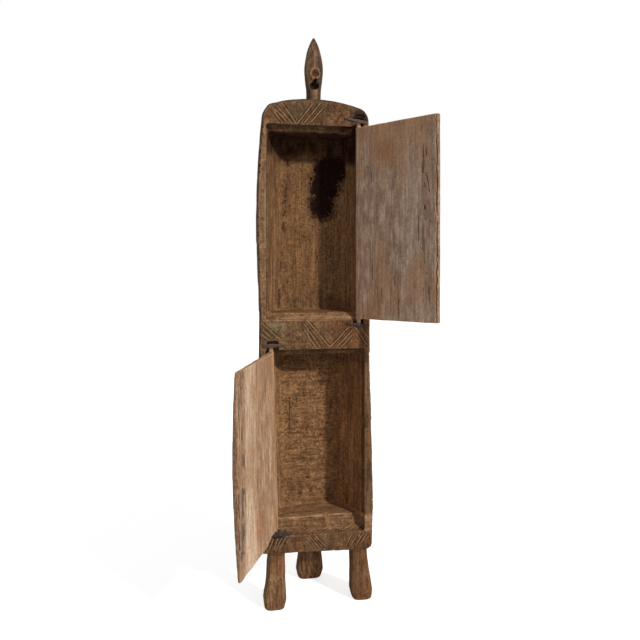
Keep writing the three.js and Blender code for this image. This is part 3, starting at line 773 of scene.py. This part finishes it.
def make_door(name, axis, open_angle, inward_sign, cracks, seed, material):
    """A plank with its cracks. Each crack has two places, half its width and its depth."""
    piece = even_skin(name, f"{name}_plank", door_skin)
    mesh = piece.data
    move_points(mesh, smoothed(mesh, points_of(mesh), 3, 0.6))
    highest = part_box(name)[1].z / MM
    hinge_place = np.array(axis["pos_m"][:2]) / MM
    along = np.array([math.cos(open_angle), math.sin(open_angle)])
    inward = inward_sign * np.array([math.sin(open_angle), -math.cos(open_angle)])

    def near_crack(middles):
        across = across_plank(middles, axis, along)
        gaps = [distance_to_line(across, middles[:, 2], crack[:2], crack[2:4])[0] for crack in cracks]
        inner_side = (middles[:, :2] - hinge_place) @ inward > 0
        return (np.min(gaps, axis=0) < 3) & inner_side

    refine(mesh, near_crack)
    points = points_of(mesh)
    normals = normals_of(mesh)
    across = across_plank(points, axis, along)
    through = (points[:, :2] - hinge_place) @ inward
    plank = np.stack([across, through, points[:, 2]], axis=1)
    is_inner = rise(normals[:, :2] @ inward, 0.35, 0.7)
    is_edge = rise(normals[:, :2] @ along, 0.3, 0.75) * rise(across, 150, 160)
    lift = -0.4 * np.abs(rough_noise(plank, (38, 60, 110), seed, 3))
    lift -= 0.35 * (1 - tool_cuts(plank, (19, 40, 60), seed + 5))
    lift -= 0.35 * np.abs(rough_noise(plank, (3.5, 12, 80), seed + 9, 3))
    lift -= 1.3 * is_edge * np.abs(rough_noise(plank, (9, 9, 24), seed + 17, 3))
    wander = 0.6 * soft_noise(plank, (60, 60, 14), seed + 13)
    wander += 0.4 * soft_noise(plank, (60, 60, 5), seed + 14)
    arris = rise(np.abs(across + 1.7 * wander - free_edge), 1.6, 0.5) * rise(through, 0, 3)
    arris *= rise(soft_noise(plank, (50, 50, 16), seed + 21), -0.45, 0.2)
    lift -= 1.2 * arris
    crack = 0.85 * arris
    for *places, half_width, cut_depth in cracks:
        gap, share = distance_to_line(across + wander, points[:, 2], places[:2], places[2:])
        ends = rise(share, -0.02, 0.2) * rise(share, 1.02, 0.8)
        cut = np.clip(1 - gap / half_width, 0, 1) * ends * is_inner
        lift -= cut_depth * cut
        crack = np.maximum(crack, rise(cut, 0.0, 0.6))
    points += normals * lift[:, None]
    move_points(mesh, points)
    paint(mesh, "standing", np.clip(standing_out(mesh, points, 5) / 0.5, -1, 1))
    paint(mesh, "crack", crack)
    up = points[:, 2]
    drift = 9 * rough_noise(plank, (40, 60, 90), seed + 25, 3)
    outer_strip = between(across + drift, 158, 180, 8)
    paint(mesh, "weathered", outer_strip * rise(up, highest - 420, highest - 330) * is_inner)
    paint(mesh, "scuffed", between(across + drift, 112, 150, 14) * is_inner)
    paint(mesh, "yellowed", rise(up, highest - 75, highest - 25))
    paint(mesh, "browned", browned_share(name, across, up, plank, seed))
    paint(mesh, "edge", is_edge)
    finish_piece(piece, name, name, material)


def browned_share(name, across, up, plank, seed):
    """Reddish brown places on the inner faces: three on the upper door, one low on the other."""
    if name == "upper_door":
        places = [((66, 905), 34, 30), ((158, 832), 9, 48), ((139, 646), 5, 7)]
    else:
        places = [((96, 205), 46, 40)]
    share = np.zeros(len(across))
    drift = 0.35 * rough_noise(plank, (22, 60, 34), seed + 31, 3)
    for (middle, height), half_width, half_height in places:
        away = np.hypot((across - middle) / half_width, (up - height) / half_height)
        share = np.maximum(share, rise(away + drift, 1.15, 0.5))
    return share


upper_door_cracks = [
    (156, 910, 155.5, 880, 1.0, 1.6), (162, 903, 163, 885, 0.9, 1.4), (162, 858, 170, 815, 0.9, 1.5),
    (158, 838, 160, 826, 0.8, 1.2), (159, 795, 160, 786, 1.8, 2.4), (146, 779, 146, 722, 0.8, 1.2),
    (184, 934, 186, 868, 1.0, 1.5), (186, 866, 185, 770, 1.2, 1.8), (185, 768, 186.5, 690, 1.0, 1.5),
    (186, 692, 183, 640, 1.3, 1.8), (183, 650, 185, 588, 1.0, 1.4), (36, 870, 36, 845, 0.8, 1.2),
    (42, 866, 42, 852, 0.7, 1.0), (61, 640, 62, 602, 0.7, 1.0), (38, 700, 40, 650, 0.7, 1.0),
    (101, 622, 101, 580, 0.8, 1.2), (92, 665, 92, 642, 0.7, 1.0),
]
lower_door_cracks = [
    (182, 488, 180, 444, 1.2, 1.6), (177, 470, 177, 436, 0.9, 1.3), (181, 430, 179, 384, 1.0, 1.4),
    (179, 384, 181, 318, 1.4, 2.0), (176, 372, 175, 338, 1.0, 1.4), (181, 300, 179, 246, 1.2, 1.6),
    (172, 352, 171, 330, 0.8, 1.1), (154, 368, 153, 354, 0.8, 1.2), (178, 236, 180, 192, 1.0, 1.4),
    (128, 258, 122, 206, 0.8, 1.1), (123, 190, 127, 170, 0.7, 1.0), (100, 300, 99, 268, 0.7, 1.0),
]


# Iron


def make_staple(node, material):
    piece = even_skin(node, f"forged_{node}", iron_skin)
    mesh = piece.data
    points = smoothed(mesh, points_of(mesh), 2, 0.6)
    move_points(mesh, points)
    normals = normals_of(mesh)
    in_wood = rise(from_front(points)[1], -0.2, 0.6)
    lift = -0.5 * (1 - tool_cuts(points, (6, 5, 5), 91))
    lift -= 0.3 * np.abs(rough_noise(points, 3, 97, 3))
    points += normals * (lift * (1 - 0.8 * in_wood))[:, None]
    move_points(mesh, points)
    paint(mesh, "standing", np.clip(standing_out(mesh, points, 6) / 0.25, -1, 1))
    paint(mesh, "blackened", np.full(len(points), 0.6 if "bottom" in node else 0.0))
    finish_piece(piece, node, "cabinet", material)


# Node tools. A colour is a tuple of red, green and blue, 0 to 255, as a screen shows it.


def shader_colour(screen):
    """A screen's colour in the shader's own values."""
    shares = [value / 255 for value in screen]
    return (*(s / 12.92 if s <= 0.04045 else ((s + 0.055) / 1.055) ** 2.4 for s in shares), 1)


class Value:
    """A number, colour or place that changes over the surface, from a socket of a node tree."""

    def __init__(self, tree, socket):
        self.tree = tree
        self.socket = socket

    def __add__(self, other):
        return calculate("ADD", self, other)

    def __sub__(self, other):
        return calculate("SUBTRACT", self, other)

    def __mul__(self, other):
        return calculate("MULTIPLY", self, other)


def connect(value, socket):
    if isinstance(value, Value):
        value.tree.links.new(value.socket, socket)
    else:
        socket.default_value = shader_colour(value) if isinstance(value, tuple) else value


def add_node(tree, kind, leaves_by, entries, **settings):
    """Adds a node with its settings, fills its ways in and gives the value that leaves it."""
    made = tree.nodes.new(f"ShaderNode{kind}")
    for name, setting in settings.items():
        setattr(made, name, setting)
    for label, value in entries.items():
        connect(value, made.inputs[label])
    return Value(tree, made.outputs[leaves_by])


def calculate(operation, first, second, clamp=False):
    return add_node(first.tree, "Math", 0, {0: first, 1: second}, operation=operation, use_clamp=clamp)


def mix(share, under, over, blend="MIX"):
    """Lays one colour over another, as thickly as the share says."""
    tree = next(value.tree for value in (share, under, over) if isinstance(value, Value))
    return add_node(tree, "Mix", 2, {0: share, 6: under, 7: over}, data_type="RGBA", blend_type=blend)


def ramp(value, low, high, to_low=0.0, to_high=1.0):
    """A smooth rise from to_low, where the value is low, to to_high, where it is high."""
    entries = {"Value": value, "From Min": low, "From Max": high, "To Min": to_low, "To Max": to_high}
    return add_node(value.tree, "MapRange", "Result", entries, interpolation_type="SMOOTHSTEP")


def stretched(place, *scale):
    return add_node(place.tree, "VectorMath", 0, {0: place, 1: list(scale)}, operation="MULTIPLY")


def cloud(place, scale, detail, roughness, distortion=0.0):
    entries = {"Vector": place, "Scale": scale, "Detail": detail, "Roughness": roughness}
    return add_node(place.tree, "TexNoise", "Fac", {**entries, "Distortion": distortion})


def toned(wood, *figures):
    """The wood's colour made lighter and darker along its figures. Each comes with its strength."""
    for value, depth in figures:
        wood = mix(1.0, wood, ramp(value, 0.35, 0.65, 1 - depth, 1 + 0.8 * depth), "MULTIPLY")
    return wood


# Effects that several finishes share


def start_group(name, **entries):
    """A node group and its ways in, with _ for a space: a number's start value, or the others' kind."""
    tree = bpy.data.node_groups.new(name, "ShaderNodeTree")
    for label, start in entries.items():
        kind = start if isinstance(start, str) else "Float"
        place = {"in_out": "INPUT", "socket_type": f"NodeSocket{kind}"}
        socket = tree.interface.new_socket(label.replace("_", " "), **place)
        if kind == "Float":
            socket.default_value = start
    entry = tree.nodes.new("NodeGroupInput")
    return tree, [Value(tree, entry.outputs[label.replace("_", " ")]) for label in entries]


def end_group(tree, **exits):
    """Gives a group its named ways out."""
    leave = tree.nodes.new("NodeGroupOutput")
    for label, value in exits.items():
        kind = "Color" if value.socket.type == "RGBA" else "Float"
        tree.interface.new_socket(label, in_out="OUTPUT", socket_type=f"NodeSocket{kind}")
        connect(value, leave.inputs[label])
    return tree


def wood_figure_group():
    """The figure of dry wood: fibres that run up the log, broader streaks, grains, blotches and marks."""
    tree, (place,) = start_group("wood_figure", Place="Vector")
    return end_group(
        tree,
        Fibre=cloud(stretched(place, 1, 1, 0.04), 340, 4, 0.75),
        Streak=cloud(stretched(place, 1, 1, 0.06), 110, 5, 0.65, 0.2),
        Level=cloud(stretched(place, 0.11, 1, 1), 170, 5, 0.75, 0.2),
        Speckle=cloud(stretched(place, 1, 1, 0.75), 230, 4, 0.8),
        Blotch=cloud(stretched(place, 1, 1, 0.5), 60, 5, 0.65),
        Patch=cloud(stretched(place, 1, 1, 0.45), 16, 3, 0.5),
        Flecks=ramp(cloud(stretched(place, 1, 1, 0.4), 260, 2, 0.5), 0.64, 0.72),
    )


def drying_checks_group():
    """Hairline cracks along the grain, where the wood dried and opened."""
    tree, (place, amount) = start_group("drying_checks", Place="Vector", Amount=0.5)
    long_cells = {"Vector": stretched(place, 1, 1, 0.12), "Scale": 85}
    lines = add_node(tree, "TexVoronoi", "Distance", long_cells, feature="DISTANCE_TO_EDGE")
    gate = cloud(stretched(place, 1, 1, 0.35), 60, 3, 0.6) + amount * 0.3
    return end_group(tree, Crack=ramp(lines, 0.045, 0.0) * ramp(gate, 0.66, 0.78))


def adze_marks_group():
    """Thin dark lips that an adze leaves across and along the grain."""
    tree, (place,) = start_group("adze_marks", Place="Vector")
    level = ramp(cloud(stretched(place, 0.15, 0.2, 1), 400, 3, 0.6, 0.2), 0.59, 0.66)
    upright = ramp(cloud(stretched(place, 1, 1, 0.2), 380, 3, 0.6, 0.3), 0.63, 0.70)
    return end_group(tree, Lips=calculate("MAXIMUM", level, upright * 0.5))


def wear_grime_and_shade_group():
    """Pale wear where the wood stands out, and dark grime with painted shade where it is hollow."""
    tree, (wood, worn, grime_and_shade, standing, wear_amount, grime_and_shade_amount, place) = start_group(
        "wear_grime_and_shade", Wood="Color", Worn="Color", Grime="Color",
        Standing=0.0, Wear_Amount=0.6, Grime_Amount=0.7, Place="Vector",
    )
    broken = cloud(stretched(place, 1, 1, 0.4), 170, 5, 0.68)
    raised = ramp(standing, 0.15, 0.9) * wear_amount
    rubbed = calculate("MULTIPLY", raised, ramp(broken, 0.38, 0.6, 0.15, 1.0), clamp=True)
    # Painted shade, with grime: darker where the surface is sunk, in grooves, corners and recesses.
    sunk = ramp(standing, -0.15, -1.0) * grime_and_shade_amount
    dirt_and_shade = calculate("MULTIPLY", sunk, ramp(broken, 0.3, 0.6, 0.4, 1.0), clamp=True)
    colour = mix(rubbed, mix(dirt_and_shade, wood, grime_and_shade), worn)
    return end_group(tree, Colour=colour, Roughness=ramp(rubbed, 0, 1, 0.88, 0.7))


# Finishes


class Finish:
    """A material in the making, and what it reads from its piece."""

    def __init__(self, name):
        self.material = bpy.data.materials.new(name)
        self.material.use_nodes = True
        self.tree = self.material.node_tree
        self.place = add_node(self.tree, "TexCoord", "Object", {})

    def painted(self, name):
        return add_node(self.tree, "Attribute", "Fac", {}, attribute_name=name)

    def effect(self, group, **entries):
        """Places a group in the material and gives what leaves it. Labels have _ for a space."""
        made = self.tree.nodes.new("ShaderNodeGroup")
        made.node_tree = group
        for label, value in entries.items():
            connect(value, made.inputs[label.replace("_", " ")])
        return [Value(self.tree, socket) for socket in made.outputs]

    def worn(self, wear, wood, pale, grime_and_shade, wear_amount, grime_and_shade_amount):
        """The wood's colour and roughness, worn pale where it stands out, and dark with grime and painted
        shade where it is hollow.
        """
        return self.effect(
            wear, Wood=wood, Worn=pale, Grime=grime_and_shade, Standing=self.painted("standing"),
            Wear_Amount=wear_amount, Grime_Amount=grime_and_shade_amount, Place=self.place,
        )

    def end(self, entries, height, bump_depth):
        """Fills the shader's sockets, and raises the height as a bump this deep."""
        relief = {"Height": height, "Distance": bump_depth}
        entries["Normal"] = add_node(self.tree, "Bump", "Normal", relief)
        for label, value in entries.items():
            connect(value, self.tree.nodes["Principled BSDF"].inputs[label])
        return self.material


def trunk_wood(figure, checks, adze, wear):
    """Hewn, dry, brown wood: golden inside the compartments, burnt in one place, dark with painted shade
    in its cuts and under the ceilings, and with painted highlights on its ridges and worn edges.
    """
    finish = Finish("trunk_wood")
    painted = finish.painted
    place = finish.place
    fibre, streak, level, speckle, blotch, patch, flecks = finish.effect(figure, Place=place)
    blotched = ramp(blotch, 0.36, 0.64)
    warm = painted("warm")
    upright = painted("upright")
    outside = mix(blotched, (98, 71, 48), (134, 101, 69))
    outside = mix(ramp(warm, 0.0, 0.8, 0, 0.6), outside, (124, 79, 49))
    outside = mix(ramp(warm, 0.0, -0.8, 0, 0.5), outside, (112, 95, 66))
    on_knob = mix(ramp(streak, 0.4, 0.6), (98, 76, 60), (144, 110, 82))
    outside = mix(painted("knob"), outside, on_knob)
    inside = mix(blotched, (122, 88, 58), (150, 111, 74))
    inside = mix(ramp(patch, 0.5, 0.62, 0, 0.35), inside, (148, 107, 68))
    inside = mix(ramp(streak, 0.5, 0.62) * upright * 0.45, inside, (158, 116, 76))
    wood = mix(painted("hollow"), outside, inside)
    wood = mix(1.0, wood, ramp(painted("pale"), 0, 1, 1, 1.45), "MULTIPLY")
    streaked = toned(wood, (fibre, 0.40), (streak, 0.26), (speckle, 0.14))
    grained = toned(wood, (speckle, 0.48), (fibre, 0.10), (level, 0.16))
    levelled = toned(wood, (level, 0.36), (speckle, 0.26))
    wood = mix(painted("level"), mix(upright, grained, streaked), levelled)
    wood = mix(flecks * 0.6, wood, (58, 37, 24))
    smooth = toned((182, 139, 101), (level, 0.3), (speckle, 0.26))
    wood = mix(painted("rubbed") * ramp(blotch, 0.3, 0.6, 0.5, 1.0), wood, smooth)
    wood = mix(painted("lichen") * 0.55, wood, (160, 146, 112))
    # The grime colour also paints shade into the hollows.
    colour, roughness = finish.worn(wear, wood, (176, 136, 98), (46, 28, 18), 0.5, 0.6)
    (crack,) = finish.effect(checks, Place=place, Amount=0.3)
    (lips,) = finish.effect(adze, Place=place)
    lips *= painted("chips")
    dots = ramp(cloud(place, 400, 2, 0.6), 0.59, 0.64) * painted("hollow")
    colour = mix(crack * 0.6, colour, (46, 28, 18))
    colour = mix(lips * 0.55, colour, (60, 37, 22))
    colour = mix(dots * 0.7, colour, (66, 40, 22))
    for name, thickness, paint_colour in (
        # Painted shade in the grooves.
        ("shaded_groove", ramp(speckle, 0.35, 0.6, 0.3, 0.85), (58, 37, 25)),
        # Painted highlight on ridges and crests.
        ("highlit_ridge", ramp(speckle, 0.36, 0.56, 0.3, 0.95), (176, 134, 98)),
        # Painted highlight along worn edges.
        ("worn_edge_highlight", ramp(level, 0.4, 0.56, 0.25, 0.95), (226, 186, 144)),
        # Painted shade along seams and in nicks, and the dark of the cracks.
        ("shaded_seam", 0.65, (46, 28, 17)),
        # Grime, with painted shade in notches and hollows.
        ("grime_and_shade", ramp(blotch, 0.35, 0.6, 0.55, 0.9), (46, 34, 25)),
        # Painted shade, with some smoke, under the ceilings.
        ("shade_and_smoke", ramp(blotch, 0.38, 0.62, 1.0, 0.8), (37, 8, 2)),
    ):
        colour = mix(painted(name) * thickness, colour, paint_colour)
    burnt = painted("soot") + (cloud(place, 150, 6, 0.85) - 0.5) * 5.0
    charcoal = mix(ramp(speckle, 0.5, 0.68), (20, 3, 1), (58, 24, 13))
    colour = mix(ramp(burnt, -1.2, 0.0, 0, 0.6), colour, (66, 38, 22))
    colour = mix(ramp(burnt, -0.3, 0.1), colour, charcoal)
    colour = mix(ramp(painted("bowl"), 0, 0.7, 0, 0.7), colour, (112, 66, 48))
    # Painted shade: the knob's pit and the cavity over the top staple are laid near black.
    colour = mix(ramp(painted("shaded_pit"), 0.1, 0.7, 0, 0.9), colour, (34, 20, 14))
    height = fibre * ramp(upright, 0, 1, 0.4, 1.6) + speckle * ramp(upright, 0, 1, 1.5, 0.7)
    height = height - calculate("MAXIMUM", crack, lips * 0.5) - flecks * 0.6
    entries = {"Base Color": colour, "Roughness": roughness, "Specular IOR Level": 0.15}
    return finish.end(entries, height, 2.2 * MM)


def plank_wood(name, figure, checks, wear, fibre_depth, scuffing, staining,
               dark, light, tinge, grey, edge, stain, scuff):
    """Old plank: finely streaked, with pale scuffs, warm patches, dark cracks and a browner free edge."""
    finish = Finish(name)
    painted = finish.painted
    place = finish.place
    fibre, streak, _, speckle, blotch, patch, flecks = finish.effect(figure, Place=place)
    wood = mix(ramp(blotch, 0.34, 0.66), dark, light)
    wood = mix(ramp(patch, 0.48, 0.62, 0, 0.55), wood, tinge)
    wood = mix(ramp(streak + blotch, 1.0, 1.2, 0, 0.6) * ramp(patch, 0.56, 0.46), wood, grey)
    wood = mix(painted("yellowed") * ramp(blotch, 0.36, 0.6, 0.3, 0.9), wood, tinge)
    wood = mix(painted("browned") * ramp(blotch, 0.4, 0.6, 0.2, 0.8), wood, (170, 118, 82))
    wood = mix(painted("scuffed") * ramp(patch, 0.62, 0.44, 0.3, 1.0) * scuffing, wood, scuff)
    weathered = painted("weathered") * ramp(blotch, 0.44, 0.54)
    wood = mix(ramp(streak + weathered * staining, 0.64, 0.73, 0, 0.85), wood, stain)
    rim_wood = toned(edge, (speckle, 0.3), (blotch, 0.2))
    wood = mix(ramp(painted("edge"), 0.2, 0.7) * 0.9, wood, rim_wood)
    wood = toned(wood, (fibre, fibre_depth), (streak, 0.12), (speckle, 0.18))
    wood = mix(flecks * 0.4, wood, (92, 66, 50))
    # The grime colour also paints shade into the hollows.
    colour, roughness = finish.worn(wear, wood, (204, 168, 132), (76, 54, 41), 0.45, 0.45)
    (check,) = finish.effect(checks, Place=place, Amount=0.1)
    opened = painted("crack") * ramp(speckle, 0.3, 0.55, 0.5, 1.0)
    crack = calculate("MAXIMUM", check * 0.5, opened)
    colour = mix(crack * 0.75, colour, (50, 34, 26))
    entries = {"Base Color": colour, "Roughness": roughness, "Specular IOR Level": 0.25}
    return finish.end(entries, fibre + speckle * 0.8 - crack * 1.2, 1.4 * MM)


def forged_iron():
    """Hammered iron, dark in its dents and brown with rust, and blacker low down."""
    finish = Finish("forged_iron")
    rust = cloud(finish.place, 260, 5, 0.65)
    fine = cloud(finish.place, 1500, 3, 0.6)
    standing = finish.painted("standing")
    colour = mix(ramp(rust, 0.4, 0.6), (62, 50, 45), (92, 64, 49))
    colour = mix(ramp(standing, 0.1, 0.8, 0, 0.5), colour, (132, 106, 88))
    colour = mix(ramp(standing, -0.1, -0.8, 0, 0.75), colour, (22, 15, 12))
    colour = mix(finish.painted("blackened") * ramp(rust, 0.62, 0.46, 0.5, 1.0), colour, (20, 16, 15))
    entries = {
        "Base Color": colour,
        "Roughness": ramp(rust, 0.4, 0.65, 0.5, 0.85),
        "Metallic": ramp(rust, 0.35, 0.6, 0.5, 0.1),
    }
    return finish.end(entries, rust + fine * 0.4, 0.5 * MM)


# Studio


def make_floor():
    """A pale floor that shows white to the camera and keeps a soft shadow."""
    bpy.ops.mesh.primitive_plane_add(size=30)
    floor = bpy.context.object
    floor.name = "floor"
    material = bpy.data.materials.new("pale_floor")
    material.use_nodes = True
    tree = material.node_tree
    tree.nodes.clear()
    matt = add_node(tree, "BsdfDiffuse", 0, {"Color": [0.8, 0.8, 0.8, 1]})
    seen = add_node(tree, "LightPath", "Is Camera Ray", {})
    glow = add_node(tree, "Emission", 0, {"Strength": seen * floor_glow})
    both = add_node(tree, "AddShader", 0, {0: matt, 1: glow})
    connect(both, tree.nodes.new("ShaderNodeOutputMaterial").inputs["Surface"])
    floor.data.materials.append(material)


def light_studio():
    """One soft key from the front right, and an even pale sky that the camera sees as white."""
    data = bpy.data.lights.new("key", "SUN")
    data.energy = key_strength
    data.angle = key_softness
    key = bpy.data.objects.new("key", data)
    key.rotation_euler = (math.pi / 2 - key_height, 0, key_side)
    bpy.context.scene.collection.objects.link(key)
    world = bpy.data.worlds.new("pale_sky")
    bpy.context.scene.world = world
    world.use_nodes = True
    tree = world.node_tree
    tree.nodes.clear()
    seen, glossy = (add_node(tree, "LightPath", f"Is {ray} Ray", {}) for ray in ("Camera", "Glossy"))
    strength = ramp(calculate("MAXIMUM", seen, glossy), 0, 1, sky_strength, 1.0)
    sky = add_node(tree, "Background", 0, {"Color": [1, 1, 1, 1], "Strength": strength})
    connect(sky, tree.nodes.new("ShaderNodeOutputWorld").inputs["Surface"])
    bpy.context.scene.view_settings.view_transform = "Standard"


set_camera()
figure = wood_figure_group()
checks = drying_checks_group()
adze = adze_marks_group()
wear = wear_grime_and_shade_group()
iron = forged_iron()

make_body(trunk_wood(figure, checks, adze, wear))
grey_plank = plank_wood(
    "upper_door_wood", figure, checks, wear, fibre_depth=0.2, scuffing=0.3, staining=0.12,
    dark=(164, 132, 111), light=(200, 168, 143), tinge=(186, 142, 106), grey=(204, 184, 165),
    edge=(160, 124, 92), stain=(112, 88, 70), scuff=(196, 172, 150),
)
tan_plank = plank_wood(
    "lower_door_wood", figure, checks, wear, fibre_depth=0.34, scuffing=0.8, staining=0.2,
    dark=(163, 126, 97), light=(196, 158, 124), tinge=(182, 136, 100), grey=(196, 164, 134),
    edge=(146, 106, 80), stain=(84, 72, 66), scuff=(222, 190, 158),
)
make_door("upper_door", upper_axis, upper_door_angle, 1, upper_door_cracks, 101, grey_plank)
make_door("lower_door", lower_axis, lower_door_angle, -1, lower_door_cracks, 131, tan_plank)
for node in staples:
    make_staple(node, iron)

make_floor()
light_studio()
